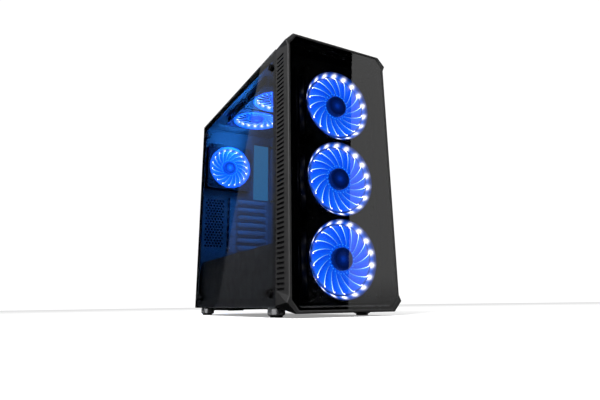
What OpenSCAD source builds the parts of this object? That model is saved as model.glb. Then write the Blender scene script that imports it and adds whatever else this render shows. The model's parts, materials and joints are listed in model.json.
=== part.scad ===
// Mid-tower computer case: steel chassis, tempered glass side, glazed front bezel and six lit fans.
// Millimetres, +Z up. The front faces -Y and the glass side faces -X.
// The origin is on the floor, under the middle of the whole object.

/* [Chassis] */
// Width over both side panels
body_w = 216; // [205:1:265]
// Height from the underside of the base pan to the top of the roof
body_h = 469; // [465:1:565]
// Depth from the bezel's back edge to the outside of the rear wall
body_d = 452; // [375:1:545]
// Thickness of the steel sheet
sheet = 1; // [0.8:0.1:1.2]
// Height of the floor chamber under its shroud
shroud_h = 107; // [100:1:135]
// Gap for cables between the motherboard tray and the right-hand frame
cable_gap = 12.5; // [10:0.5:24]
// Width of the flange round each side opening
flange_w = 16; // [12:1:20]

/* [Front bezel] */
// Depth of the bezel in front of the chassis
bezel_d = 48; // [46:1:60]
// How far each flared corner stands out past the side panels
flare = 4; // [2:0.5:8]
// How far the bezel's top edge stands above the roof
bezel_rise = 10; // [6:0.5:14]
// How far the bezel's bottom edge hangs below the base pan
bezel_drop = 9.5; // [4:0.5:12]
// Wall of the moulding
bezel_wall = 3; // [2.5:0.1:3.5]
// Width and height of the cut corners
corner_w = 16; // [10:1:22]
corner_h = 17; // [10:1:22]
// Length of the slope from a flared corner back to the straight side
ear_len = 10; // [6:1:16]
// Width of the rim round the front glass
rim_w = 5; // [4:0.5:7]
// Thickness of the front glass
front_glass_t = 4; // [3:0.5:5]
// Length, height and pitch of the air slots in each side
slot_len = 27; // [15:1:28]
slot_h = 4; // [2:0.5:5]
slot_pitch = 8.125; // [7:0.125:12]

/* [Glass side] */
// Thickness of the tempered glass
glass_t = 4; // [3:0.5:5]
// Thickness of the rubber washer behind the glass
washer_t = 1; // [0.8:0.1:2]
// Diameter and height of a thumbscrew's head
thumb_d = 13; // [10:0.5:15]
thumb_h = 4; // [3:0.5:6]
// Screw centres in from the glass's front and rear edges
screw_in_y = 20; // [17:1:26]
// Screw centres in from the glass's top and bottom edges
screw_in_top = 31; // [18:1:36]
screw_in_bottom = 22; // [18:1:36]

/* [Feet] */
// Height of the body above the floor
foot_h = 16; // [14:1:24]
// Diameter of a foot
foot_d = 30; // [24:1:36]
// Foot centres in from the sides and from the ends of the chassis
foot_in_x = 20; // [19:1:30]
foot_in_y = 38; // [25:1:60]

/* [Fans] */
// Side of a front fan's frame, which is also the pitch of the stack
front_fan = 140; // [140:1:145]
// Side of the rear and roof fans' frames
small_fan = 120; // [120:1:125]
// Thickness of every fan
fan_t = 25; // [25:1:27]
// Blades on each rotor
blades = 20; // [9:1:24]
// Sweep of a blade from hub to tip, in degrees
blade_sweep = 32; // [10:1:45]
// Height of the lowest front fan above the base pan's underside
front_lift = 7; // [4:0.5:12]
// Rear fan's centre, sideways from the middle and down from the roof
rear_fan_x = -36; // [-38:1:-34]
rear_fan_drop = 111; // [92:1:115]
// Roof fans' centre line, and the rear one's distance from the rear wall
roof_fan_x = -20; // [-40:1:20]
roof_fan_in = 163; // [100:1:170]
// Pitch of the two roof fans
roof_fan_pitch = 125; // [125:1:140]

/* [Front ports] */
// Diameters of the power and reset buttons
power_d = 13; // [9:0.5:14]
reset_d = 6; // [5:0.5:8]
// Travel of both buttons
button_travel = 1.5; // [1:0.1:1.8]

/* [Hidden] */
// Standard sizes of the boards, drives and supplies that the case takes
io_w = 44.45;
io_h = 158.75;
slot_step = 20.32;
slot_count = 7;
board_cols = [0, 154.94, 227.33];
board_rows = [0, 157.48, 281.94];
board_edge = 10.16;
board_t = 1.6;
psu_w = 150;
psu_h = 86;
psu_holes = [138, 64];
drive_w = 101.6;
drive_holes = [44.45, 95.25];
ssd_holes = [76.6, 61.72];
// Clearances
gap = 0.3;
fit_gap = 0.05;
eps = 0.01;

// Planes of the whole object
rear_head = 6;
y_front = -(bezel_d + body_d + rear_head) / 2;
y_body = y_front + bezel_d;
y_rear = y_body + body_d;
z_base = foot_h;
z_roof = foot_h + body_h;
x_glass = -body_w / 2;
x_panel = body_w / 2;
x_left = x_glass + glass_t + washer_t + gap;
x_right = x_panel - sheet - gap;
// Inside faces of the steel box
z_floor = z_base + sheet;
z_ceiling = z_roof - sheet;
y_wall = y_rear - sheet;
z_shroud = z_base + shroud_h + sheet;
x_tray = x_right - sheet - cable_gap;

// Fan sizes: frame side, screw spacing, bore radius, light ring radius, hub radius
big = [front_fan, 124.5, 61, 67.5, 19.4];
small = [small_fan, 105, 51.5, 57, 17];
fan_hole_r = 2.15;
fan_flange = 4;
ring_t = 10;
ring_lip = 0.8;
shaft_r = 1.5;
tip_gap = 1.2;
front_glass_in = 1;
fan_air = 4;
y_fan = y_front + front_glass_in + front_glass_t + fan_air + fan_t;
z_fans = [for (i = [2:-1:0]) z_base + front_lift + front_fan * (i + 0.5)];
z_rear_fan = z_roof - rear_fan_drop;
y_roof_fans = [for (i = [0:1]) y_rear - roof_fan_in - i * roof_fan_pitch];

// Rear wall layout, worked down from the roof
io_drop = 28;
io_inset = 1.2;
standoff_h = 6.35;
x_io = x_tray - standoff_h - io_inset - io_w;
z_io = z_roof - io_drop - io_h;
z_slot = z_io - 14;
slot_x = [x_io - 64, x_io + 42];
slot_open = 12.7;
bracket = [120, 18.4, 0.9];
ledge_x = slot_x[0] - 7;
y_holes = y_wall - 2 - board_edge;
z_holes = z_io + io_h + 6 - board_edge;
psu_x = -5;
psu_z = z_floor + 5 + psu_h / 2;

// Side opening and the posts that take the glass's screws
open_y = [y_body + flange_w + 2, y_rear - flange_w - 2];
open_z = [z_base + flange_w, z_roof - flange_w];
screw_ys = [y_body + screw_in_y, y_rear - screw_in_y];
screw_zs = [z_roof - screw_in_top, z_base + screw_in_bottom];
post_r = 5;
post_len = 9;
screw_r = 2.4;
bush_r = 4.4;

// Feet, and the filter that slides between them under the power supply
foot_x = body_w / 2 - foot_in_x;
filter_w = 2 * foot_x - foot_d - 14;
filter_y = [y_rear - 176, y_rear - 4];

// Cable openings in the tray, in front of the board
cable_holes = [28, 70];
cable_y = y_holes - board_cols[2] - board_edge - 26;
cable_zs = [for (k = [0:2]) z_holes - 45 - k * (cable_holes[1] + 24)];

// Brackets for small drives behind the tray, on posts in a square
ssd_post = 50;
ssd_y = y_body + 75;
ssd_zs = [z_shroud + 60, z_shroud + 60 + 110];

// Right panel: hooks that slide back out of their slots, rear lip and its screws
hook_ys = [y_body + 60, (y_body + y_rear) / 2, y_rear - 60];
hook_len = 14;
hook_slide = 20;
lip_w = 18;
panel_screw_x = x_panel - 8;
panel_screw_zs = [z_roof - 60, z_base + 60];

// Raised box that carries the front fans
box_rim = 4;
box_flange = 8;
box_x = front_fan / 2 + box_rim;
box_z = [z_base + front_lift - box_rim, z_base + front_lift + 3 * front_fan + box_rim];

// Bezel sections
mid_in = 0.5;
edge_round = 1.2;
z_top = z_roof + bezel_rise;
z_bottom = z_base - bezel_drop;
deck_z = z_roof + 1;
deck_t = 3;
deck_x = 86;
deck_y = [y_front + 12, y_front + 37];
ports_y = y_front + 25;
power_x = -70;
reset_x = -48;
usb_xs = [-22, 0, 22];
jack_xs = [44, 60];
board_z = deck_z - 12;
clip_x = body_w / 2 - 11;
clip_reach = 11 - bezel_wall / 2;
clip_zs = [z_base + 14, z_roof - 15];
vent_z = [z_base + 28, z_roof - 26];

// Drive cage
cage_x = [x_left + 40, x_right - 12];
cage_y = [y_body + 60, y_body + 60 + drive_w + 8];
bay_h = 30;
tray_zs = [z_floor + 4, z_floor + 4 + bay_h];

// ---- Shared shapes -------------------------------------------------------------

// A sheet at x that spans Y and Z, drawn as (y, z)
module sheet_x(x, t = sheet) {
    translate([x, 0, 0]) rotate([90, 0, 90]) linear_extrude(t) children();
}

// A sheet at y that spans X and Z, drawn as (x, z)
module sheet_y(y, t = sheet) {
    translate([0, y + t, 0]) rotate([90, 0, 0]) linear_extrude(t) children();
}

// A sheet at z, drawn as (x, y)
module sheet_z(z, t = sheet) {
    translate([0, 0, z]) linear_extrude(t) children();
}

// A rectangle between two opposite corners
module rect(a, b) {
    translate(a) square([b[0] - a[0], b[1] - a[1]]);
}

// The same with round corners
module round_rect(a, b, r) {
    rect([a[0] + r, a[1]], [b[0] - r, b[1]]);
    rect([a[0], a[1] + r], [b[0], b[1] - r]);
    for (x = [a[0] + r, b[0] - r], y = [a[1] + r, b[1] - r])
        translate([x, y]) circle(r, $fn = 48);
}

// Rows of hexagonal air holes that fill a rectangle
module hex_field(a, b, pitch = 8, r = 3) {
    row = pitch * 0.87;
    rows = floor((b[1] - a[1] - 2 * r) / row);
    cols = floor((b[0] - a[0] - 2 * r - pitch / 2) / pitch);
    for (j = [0:rows], i = [0:cols])
        translate([a[0] + r + i * pitch + (j % 2) * pitch / 2, a[1] + r + j * row])
            rotate(30) circle(r, $fn = 6);
}

// Round holes at the corners of a rectangle about a centre
module corner_holes(c, spacing, r) {
    for (sx = [-1, 1], sy = [-1, 1])
        translate([c[0] + sx * spacing[0] / 2, c[1] + sy * spacing[1] / 2]) circle(r, $fn = 32);
}

// A cylinder along X, Y or Z from a point
module rod_x(p, r, h) {
    translate(p) rotate([0, 90, 0]) cylinder(r = r, h = h, $fn = 48);
}
module rod_y(p, r, h) {
    translate(p) rotate([-90, 0, 0]) cylinder(r = r, h = h, $fn = 48);
}
module rod_z(p, r, h) {
    translate(p) cylinder(r = r, h = h, $fn = 48);
}

// A solid through outlines of equal point count, each given as [y, points of (x, z)]
module loft(sections) {
    n = len(sections[0][1]);
    m = len(sections);
    points = [for (s = sections) for (p = s[1]) [p[0], s[0], p[1]]];
    sides = [for (k = [0:m - 2]) for (i = [0:n - 1]) for (f = [
        [k * n + i, (k + 1) * n + i, (k + 1) * n + (i + 1) % n],
        [k * n + i, (k + 1) * n + (i + 1) % n, k * n + (i + 1) % n]
    ]) f];
    first = [for (i = [0:n - 1]) i];
    last = [for (i = [n - 1:-1:0]) (m - 1) * n + i];
    polyhedron(points = points, faces = concat([first], [last], sides));
}

// ---- Fans ----------------------------------------------------------------------
// A fan is drawn about the Z axis with its back at z = 0 and its lit face at z = fan_t.

function blade_point(f, t, side) =
    let (r0 = f[4] - 0.6, r1 = f[2] - tip_gap, r = r0 + (r1 - r0) * t,
         a = blade_sweep * pow(t, 1.2), w = (1.1 - 0.5 * t) * side)
    [r * cos(a) - w * sin(a), r * sin(a) + w * cos(a)];

module fan_frame(f) {
    color("#17181a") difference() {
        union() {
            linear_extrude(fan_flange) fan_plate(f, f[2]);
            translate([0, 0, fan_t - fan_flange]) linear_extrude(fan_flange) fan_plate(f, f[3]);
            linear_extrude(fan_t - ring_t) difference() {
                circle(f[2] + 2, $fn = 128);
                circle(f[2], $fn = 128);
            }
            linear_extrude(fan_t - 1) for (sx = [-1, 1], sy = [-1, 1])
                translate([sx, sy] * f[1] / 2) circle(4.2, $fn = 32);
            motor_mount(f);
        }
        for (sx = [-1, 1], sy = [-1, 1])
            translate([sx * f[1] / 2, sy * f[1] / 2, -1])
                cylinder(r = fan_hole_r, h = fan_t + 2, $fn = 32);
    }
}

module fan_plate(f, bore) {
    difference() {
        round_rect([-f[0] / 2, -f[0] / 2], [f[0] / 2, f[0] / 2], 6);
        circle(bore, $fn = 128);
    }
}

// Base disc, four arms, coil and the sleeve that the shaft turns in
module motor_mount(f) {
    linear_extrude(2.6) {
        difference() {
            circle(f[4], $fn = 64);
            circle(shaft_r + fit_gap, $fn = 32);
        }
        for (a = [20:90:290]) rotate(a) rect([f[4] - 1, -1.5], [f[2] + 1, 1.5]);
    }
    difference() {
        union() {
            cylinder(r = 4, h = 16, $fn = 48);
            translate([0, 0, 5.5]) cylinder(r = f[4] - 5, h = 8, $fn = 64);
        }
        translate([0, 0, -1]) cylinder(r = shaft_r + fit_gap, h = 20, $fn = 48);
    }
    cylinder(r = 3, h = 1, $fn = 32);
}

// Light ring: a funnel that opens from the bore out to the lit face
module fan_ring(f) {
    color("#2f7bff") translate([0, 0, fan_t - ring_t]) rotate_extrude($fn = 128)
        polygon([[f[2], 0], [f[3], 0], [f[3], ring_t], [f[3] - ring_lip, ring_t]]);
}

module fan_rotor(f) {
    color("#1a56ff") {
        difference() {
            translate([0, 0, 4.5]) cylinder(r = f[4], h = 19, $fn = 64);
            translate([0, 0, 3]) cylinder(r = f[4] - 1.6, h = 18.5, $fn = 64);
        }
        translate([0, 0, 2]) cylinder(r = shaft_r, h = 20, $fn = 48);
        translate([0, 0, 6]) linear_extrude(15) for (i = [0:blades - 1])
            rotate(i * 360 / blades) polygon([
                for (k = [0:5]) blade_point(f, k / 5, -1),
                for (k = [5:-1:0]) blade_point(f, k / 5, 1)
            ]);
    }
}

module at_front_fan(i) {
    translate([0, y_fan, z_fans[i]]) rotate([90, 0, 0]) children();
}
module at_rear_fan() {
    translate([rear_fan_x, y_wall, z_rear_fan]) rotate([90, 0, 0]) children();
}
module at_roof_fan(i) {
    translate([roof_fan_x, y_roof_fans[i], z_ceiling]) rotate([180, 0, 0]) children();
}

// The rear and roof fans are small ones, whose light ring is one piece with the frame
module small_frame() {
    fan_frame(small);
    fan_ring(small);
}

// Screws that hold one fan through a sheet at its back
module fan_screw_set(f) {
    for (sx = [-1, 1], sy = [-1, 1]) translate([sx * f[1] / 2, sy * f[1] / 2, 0]) {
        translate([0, 0, -sheet - 1.4]) cylinder(r = 3.6, h = 1.4, $fn = 32);
        translate([0, 0, -sheet - 0.1]) cylinder(r = fan_hole_r - 0.25, h = 11, $fn = 32);
    }
}

module fan_screws() {
    color("#3a3b3e") {
        for (i = [0:2]) at_front_fan(i) fan_screw_set(big);
        at_rear_fan() fan_screw_set(small);
        for (i = [0:1]) at_roof_fan(i) fan_screw_set(small);
    }
}

// ---- Chassis -------------------------------------------------------------------

module base_pan() {
    color("#1c1d1f") {
        sheet_z(z_base) difference() {
            rect([x_left, y_body], [x_right, y_rear]);
            hex_field([psu_x - 60, y_rear - 150], [psu_x + 60, y_rear - 30], 10, 4);
            for (x = [-1, 1], y = [y_body + foot_in_y, y_rear - foot_in_y])
                translate([x * foot_x, y]) circle(2.2, $fn = 32);
        }
        filter_rails();
    }
}

// Two angle rails under the base pan that hold the supply's filter
module filter_rails() {
    for (s = [-1, 1]) translate([psu_x, 0, 0]) {
        x = s * (filter_w / 2 + 0.8);
        translate([min(x, x + s * 1.2), filter_y[0], z_base - 5])
            cube([1.2, filter_y[1] - filter_y[0] - 12, 5]);
        translate([min(x + s * 1.2, x - s * 3), filter_y[0], z_base - 5.9])
            cube([4.2, filter_y[1] - filter_y[0] - 12, 1]);
    }
}

module front_wall() {
    color("#202124") difference() {
        sheet_y(y_body) difference() {
            rect([x_left + sheet, z_floor], [x_right - sheet, z_ceiling]);
            box_opening();
        }
        for (sx = [-1, 1], z = clip_zs) rod_y([sx * clip_x, y_body - 1, z], 4, sheet + 2);
    }
}

// Outline of the raised box, drawn in by `inset` on all four sides
module box_outline(inset = 0) {
    rect([-box_x + inset, box_z[0] + inset], [box_x - inset, box_z[1] - inset]);
}

module box_opening() {
    box_outline(box_flange);
}

// Raised box that carries the front fans, with a flange turned inwards that lies on the front wall
module fan_bracket() {
    color("#202124") difference() {
        union() {
            sheet_y(y_body - sheet) difference() {
                box_outline();
                box_opening();
            }
            sheet_y(y_fan, y_body - y_fan) difference() {
                box_outline();
                box_outline(sheet);
            }
            sheet_y(y_fan) box_outline();
        }
        for (z = z_fans) translate([0, y_fan - 1, z]) rotate([-90, 0, 0]) {
            cylinder(r = big[2], h = sheet + 2, $fn = 128);
            for (sx = [-1, 1], sy = [-1, 1])
                translate([sx * big[1] / 2, sy * big[1] / 2, 0])
                    cylinder(r = fan_hole_r, h = sheet + 2, $fn = 32);
        }
    }
}

module rear_wall() {
    color("#202124") {
        difference() {
            sheet_y(y_wall) difference() {
                rect([x_left + sheet, z_floor], [x_right - sheet, z_ceiling]);
                fan_grille([rear_fan_x, z_rear_fan], small[2]);
                rect([x_io, z_io], [x_io + io_w, z_io + io_h]);
                for (i = [0:slot_count - 1]) translate([0, z_slot - i * slot_step])
                    rect([slot_x[0], -slot_open / 2], [slot_x[1], slot_open / 2]);
                rect([psu_x - psu_w / 2 + 13, psu_z - psu_h / 2 + 5],
                    [psu_x + psu_w / 2 - 13, psu_z + psu_h / 2 - 5]);
                hex_field([x_left + 12, z_slot - 120], [ledge_x - 8, z_slot + 5], 8, 3);
            }
            for (sx = [-1, 1], sz = [-1, 1]) rod_y(
                [rear_fan_x + sx * small[1] / 2, y_wall - 1, z_rear_fan + sz * small[1] / 2],
                fan_hole_r, sheet + 2);
            for (sx = [-1, 1], sz = [-1, 1]) rod_y(
                [psu_x + sx * psu_holes[0] / 2, y_wall - 1, psu_z + sz * psu_holes[1] / 2],
                1.9, sheet + 2);
            for (z = panel_screw_zs) rod_y([panel_screw_x, y_wall - 1, z], 2, sheet + 2);
        }
        slot_ledge();
    }
}

// Rings and spokes that guard the rear fan's opening
module fan_grille(c, r) {
    translate(c) difference() {
        circle(r, $fn = 128);
        for (k = [1:4]) difference() {
            circle(r * k / 5 + 0.8, $fn = 96);
            circle(r * k / 5 - 0.8, $fn = 96);
        }
        for (a = [45:90:315]) rotate(a) rect([0, -1.5], [r, 1.5]);
        circle(r / 5, $fn = 64);
    }
}

// Flange that the slot covers' tabs screw to
module slot_ledge() {
    z0 = z_slot - (slot_count - 1) * slot_step - slot_step / 2;
    difference() {
        sheet_x(ledge_x) rect([y_wall - 12, z0], [y_wall, z_slot + slot_step / 2]);
        for (i = [0:slot_count - 1])
            rod_x([ledge_x - 1, y_wall - 6.5, z_slot - i * slot_step], 1.7, sheet + 2);
    }
}

module slot_cover(i) {
    z = z_slot - i * slot_step - bracket[1] / 2;
    x = ledge_x + sheet;
    t = bracket[2];
    color("#2b2c2f") difference() {
        union() {
            translate([x, y_wall - t, z]) cube([bracket[0] - 6, t, bracket[1]]);
            translate([x, y_wall - 12, z + 1]) cube([t, 12, bracket[1] - 2]);
        }
        rod_x([x - 1, y_wall - 6.5, z + bracket[1] / 2], 1.7, t + 2);
    }
}

module slot_screws() {
    color("#6d6e72") for (i = [0:slot_count - 1]) {
        z = z_slot - i * slot_step;
        rod_x([ledge_x - 2.2, y_wall - 6.5, z], 3.4, 2.2);
        rod_x([ledge_x - 0.1, y_wall - 6.5, z], 1.6, 5.5);
    }
}

module roof_panel() {
    color("#1c1d1f") difference() {
        sheet_z(z_ceiling) difference() {
            rect([x_left, y_body], [x_right, y_rear]);
            for (y = y_roof_fans) roof_grille([roof_fan_x, y]);
        }
        for (y = y_roof_fans, sx = [-1, 1], sy = [-1, 1])
            rod_z([roof_fan_x + sx * small[1] / 2, y + sy * small[1] / 2, z_ceiling - 1],
                fan_hole_r, sheet + 2);
    }
}

// Hexagonal holes kept inside the fan's bore
module roof_grille(c) {
    p = 10;
    n = floor(small[2] / p);
    for (j = [-n:n], i = [-n:n]) {
        v = [i * p + abs(j % 2) * p / 2, j * p * 0.87];
        if (norm(v) < small[2] - 4.5) translate(c + v) rotate(30) circle(4.2, $fn = 6);
    }
}

// Opening of a side frame, less the corners that carry a screw post
module side_opening(corner) {
    difference() {
        rect([open_y[0], open_z[0]], [open_y[1], open_z[1]]);
        if (corner > 0) for (y = screw_ys, z = screw_zs)
            translate([y, z]) square(2 * corner, center = true);
    }
}

module window_frame() {
    color("#1c1d1f") difference() {
        union() {
            sheet_x(x_left) difference() {
                rect([y_body, z_floor], [y_rear, z_ceiling]);
                side_opening(post_r + 4);
            }
            for (y = screw_ys, z = screw_zs) rod_x([x_left, y, z], post_r, post_len);
        }
        for (y = screw_ys, z = screw_zs) rod_x([x_left - 1, y, z], screw_r + gap, post_len - 0.5);
    }
}

module right_frame() {
    color("#1c1d1f") sheet_x(x_right - sheet) difference() {
        rect([y_body, z_floor], [y_rear, z_ceiling]);
        side_opening(0);
        for (y = hook_ys) {
            rect([y + hook_slide - 1, open_z[0] - 7], [y + hook_slide + hook_len + 1, open_z[0] + 1]);
            rect([y + hook_slide - 1, open_z[1] - 1], [y + hook_slide + hook_len + 1, open_z[1] + 7]);
        }
    }
}

module motherboard_tray() {
    color("#242629") difference() {
        sheet_x(x_tray) difference() {
            rect([y_body + 20, z_shroud], [y_wall, z_ceiling]);
            round_rect([y_holes - 130, z_holes - 130], [y_holes - 20, z_holes - 20], 6);
            for (z = cable_zs) cable_outline(z, 0);
        }
        for (y = board_cols, z = board_rows)
            rod_x([x_tray - 1, y_holes - y, z_holes - z], 1.6, sheet + 2);
        for (z = ssd_zs, sy = [-1, 1], sz = [-1, 1])
            rod_x([x_tray - 1, ssd_y + sy * ssd_post / 2, z + sz * ssd_post / 2], 1.2, sheet + 2);
    }
}

module cable_outline(z, grow) {
    round_rect([cable_y - cable_holes[0] / 2 - grow, z - cable_holes[1] / 2 - grow],
        [cable_y + cable_holes[0] / 2 + grow, z + cable_holes[1] / 2 + grow], 8 + grow);
}

module tray_grommets() {
    color("#0c0c0d") for (z = cable_zs) {
        sheet_x(x_tray - 2, 2) difference() {
            cable_outline(z, 3);
            cable_outline(z, -3);
        }
        sheet_x(x_tray, sheet) difference() {
            cable_outline(z, 0);
            cable_outline(z, -3);
        }
    }
}

module standoffs() {
    color("#a8894a") for (y = board_cols, z = board_rows)
        translate([x_tray, y_holes - y, z_holes - z]) rotate([0, -90, 0]) difference() {
            cylinder(r = 3.2, h = standoff_h, $fn = 6);
            translate([0, 0, -1]) cylinder(r = 1.6, h = standoff_h + 2, $fn = 32);
        }
}

module psu_shroud() {
    x0 = x_left + post_len + gap;
    color("#1f2023") {
        sheet_z(z_shroud - sheet) difference() {
            rect([x0, y_body + sheet], [x_right - sheet, y_wall]);
            hex_field([psu_x - 45, y_wall - 120], [psu_x + 55, y_wall - 40], 10, 4);
            round_rect([x_tray - 60, y_body + 60], [x_tray - 14, y_body + 84], 8);
        }
        sheet_x(x0) rect([y_body + 10, z_floor], [y_wall, z_shroud - sheet]);
    }
}

module drive_cage() {
    color("#202124") {
        for (y = [cage_y[0], cage_y[1] - sheet]) sheet_y(y)
            rect([cage_x[0], z_floor], [cage_x[1], tray_zs[1] + bay_h + sheet]);
        sheet_z(tray_zs[1] + bay_h)
            rect([cage_x[0], cage_y[0] + sheet], [cage_x[1], cage_y[1] - sheet]);
        for (z = tray_zs) {
            for (y = [cage_y[0] + sheet, cage_y[1] - sheet - 1.6])
                translate([cage_x[0], y, z - 2]) cube([cage_x[1] - cage_x[0], 1.6, 1.8]);
        }
    }
}

module drive_tray(z) {
    x0 = cage_x[0] + 6;
    y0 = cage_y[0] + sheet + gap;
    y1 = cage_y[1] - sheet - gap;
    mid = [x0 + 70, (y0 + y1) / 2];
    color("#2a2c30") {
        sheet_z(z, 2) difference() {
            rect([x0, y0], [cage_x[1] - 3, y1]);
            corner_holes(mid, drive_holes, 1.7);
            corner_holes(mid, [ssd_holes[0], ssd_holes[1]], 1.5);
            round_rect([mid[0] - 12, mid[1] - 22], [mid[0] + 12, mid[1] + 22], 5);
        }
        for (y = [y0, y1 - 2]) translate([x0, y, z + 2]) cube([cage_x[1] - 3 - x0, 2, 12]);
        translate([cage_x[1] - 3, y0, z]) cube([3, y1 - y0, 22]);
        translate([cage_x[1], (y0 + y1) / 2 - 20, z + 8]) cube([3, 40, 5]);
    }
}

// A flat bracket on four posts behind the tray that takes one small drive
module ssd_bracket(z) {
    x0 = x_tray + sheet;
    color("#2a2c30") {
        difference() {
            sheet_x(x0 + 3) round_rect([ssd_y - 48, z - 37], [ssd_y + 48, z + 37], 4);
            for (sy = [-1, 1], sz = [-1, 1])
                rod_x([x0 + 2, ssd_y + sy * ssd_holes[0] / 2, z + sz * ssd_holes[1] / 2],
                    1.6, sheet + 2);
        }
        for (sy = [-1, 1], sz = [-1, 1])
            rod_x([x0, ssd_y + sy * ssd_post / 2, z + sz * ssd_post / 2], 3, 3);
    }
}

// ---- Side panels ---------------------------------------------------------------

module side_glass() {
    color("#2a2e33", 0.4) difference() {
        sheet_x(x_glass, glass_t)
            round_rect([y_body + gap, z_base + gap], [y_rear, z_roof - gap], 3);
        for (y = screw_ys, z = screw_zs) rod_x([x_glass - 1, y, z], bush_r, glass_t + 2);
    }
}

// Rubber sleeves in the glass's holes, each with a washer behind the glass
module glass_bushings() {
    color("#0c0c0d") for (y = screw_ys, z = screw_zs) difference() {
        union() {
            rod_x([x_glass + 0.2, y, z], bush_r, glass_t);
            rod_x([x_glass + glass_t, y, z], bush_r + 4, washer_t);
        }
        rod_x([x_glass - 1, y, z], screw_r + fit_gap, glass_t + washer_t + 3);
    }
}

// Knurled head, shank and a small socket, screwed in towards +X
module thumbscrew(y, z) {
    color("#101012") difference() {
        union() {
            rod_x([x_glass - thumb_h, y, z], thumb_d / 2 - 0.4, thumb_h - 0.1);
            for (a = [0:15:345]) translate([x_glass - thumb_h + 0.5, y, z]) rotate([a, 0, 0])
                translate([0, thumb_d / 2 - 1, -0.4]) cube([thumb_h - 1, 1, 0.8]);
            rod_x([x_glass - 0.2, y, z], screw_r, glass_t + washer_t + gap + 7);
        }
        rod_x([x_glass - thumb_h - 1, y, z], thumb_d / 4, 1.8);
    }
}

module right_panel() {
    x0 = x_right - sheet;
    color("#1b1c1e") difference() {
        union() {
            sheet_x(x_panel - sheet) rect([y_body + gap, z_base + gap], [y_rear, z_roof - gap]);
            for (y = hook_ys, s = [0, 1]) {
                z = s == 0 ? open_z[0] + 0.5 : open_z[1] - 3.5;
                translate([x0 - 1.5, y, z]) cube([x_panel - sheet - x0 + 1.5, hook_len, 3]);
                translate([x0 - 1.5, y, s == 0 ? z - 5 : z]) cube([1.2, hook_len, 8]);
            }
            sheet_y(y_rear + 0.2) rect([x_panel - lip_w, z_base + gap], [x_panel, z_roof - gap]);
            translate([x_panel - sheet, y_rear - eps, z_base + gap])
                cube([sheet, 0.3, body_h - 2 * gap]);
        }
        for (z = panel_screw_zs) rod_y([panel_screw_x, y_rear - 1, z], 2.2, 4);
    }
}

module panel_screw(z) {
    head = rear_head - 1.2 - 0.1;
    color("#101012") {
        rod_y([panel_screw_x, y_rear + 1.3, z], 5.5, head);
        for (a = [0:20:340]) translate([panel_screw_x, y_rear + 1.8, z]) rotate([0, a, 0])
            translate([5.2, 0, -0.4]) cube([0.8, head - 1, 0.8]);
        rod_y([panel_screw_x, y_wall - 6, z], 1.7, 8);
    }
}

// ---- Front bezel ---------------------------------------------------------------

// Twelve points round the moulding: cut corners that flare out from straight sides
function outline(hw, mid, top, bottom, cw, ch, ear) = [
    [-hw + cw, top], [hw - cw, top], [hw, top - ch], [mid, top - ch - ear],
    [mid, bottom + ch + ear], [hw, bottom + ch], [hw - cw, bottom], [-hw + cw, bottom],
    [-hw, bottom + ch], [-mid, bottom + ch + ear], [-mid, top - ch - ear], [-hw, top - ch]
];

function front_outline(inset) = outline(
    body_w / 2 + flare - inset, body_w / 2 - mid_in - inset, z_top - inset, z_bottom + inset,
    corner_w - 0.6 * inset, corner_h - 0.6 * inset, ear_len);

function back_outline(inset) = outline(
    body_w / 2 - inset, body_w / 2 - inset, z_roof - inset, z_base + inset,
    3 - 0.6 * inset, 3 - 0.6 * inset, corner_h + ear_len - 3);

// Eight points round the glass
function glass_outline(inset) =
    let (hw = body_w / 2 - mid_in - rim_w - inset, top = z_top - rim_w - inset,
         bottom = z_bottom + rim_w + inset, cw = corner_w - 3, ch = corner_h - 1)
    [[-hw + cw, top], [hw - cw, top], [hw, top - ch], [hw, bottom + ch],
     [hw - cw, bottom], [-hw + cw, bottom], [-hw, bottom + ch], [-hw, top - ch]];

module bezel_body(inset, y0) {
    if (inset == 0)
        loft([[y_front, front_outline(edge_round)], [y_front + 1.5, front_outline(0)],
            [y_body - gap, back_outline(0)]]);
    else
        loft([[y0, front_outline(inset)], [y_body + 1, back_outline(inset)]]);
}

module front_bezel() {
    face_t = front_glass_in + front_glass_t;
    color("#2b2c2e") difference() {
        union() {
            difference() {
                bezel_body(0, 0);
                difference() {
                    bezel_body(bezel_wall, y_front + face_t + 3);
                    translate([-deck_x - 2, deck_y[0] - 2, deck_z - deck_t])
                        cube([2 * deck_x + 4, deck_y[1] - deck_y[0] + 4, 30]);
                }
            }
            bezel_clips();
            for (s = [-1, 1]) rod_z([s * (deck_x - 4), ports_y, board_z + board_t], 3,
                deck_z - deck_t - board_z - board_t + 1);
        }
        loft([[y_front - 1, glass_outline(-3.6)], [y_front + front_glass_in, glass_outline(0)]]);
        sheet_y(y_front, face_t) polygon(glass_outline(0));
        sheet_y(y_front + face_t - 1, 6) polygon(glass_outline(4));
        translate([-deck_x, deck_y[0], deck_z]) cube([2 * deck_x, deck_y[1] - deck_y[0], 30]);
        for (s = [-1, 1], z = [vent_z[0]:slot_pitch:vent_z[1]])
            translate([s > 0 ? body_w / 2 - bezel_wall - 2 : -body_w / 2 - 2,
                y_front + 17, z - slot_h / 2]) cube([bezel_wall + 4, slot_len, slot_h]);
        port_holes();
    }
}

// Four pegs that push into the front wall
module bezel_clips() {
    for (s = [-1, 1], z = clip_zs) {
        x = s * clip_x;
        translate([min(x - s * 4, x + s * clip_reach), y_front + 8, z - 4])
            cube([clip_reach + 4, bezel_d - 9, 8]);
        rod_y([x, y_body - 2, z], 3.5, 9);
    }
}

module port_holes() {
    z = deck_z - deck_t - 1;
    rod_z([power_x, ports_y, z], power_d / 2 + gap, deck_t + 2);
    rod_z([reset_x, ports_y, z], reset_d / 2 + gap, deck_t + 2);
    for (x = usb_xs) translate([x - 7.4, ports_y - 3.8, z]) cube([14.8, 7.6, deck_t + 2]);
    for (x = jack_xs) rod_z([x, ports_y, z], 3.3, deck_t + 2);
}

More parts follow.
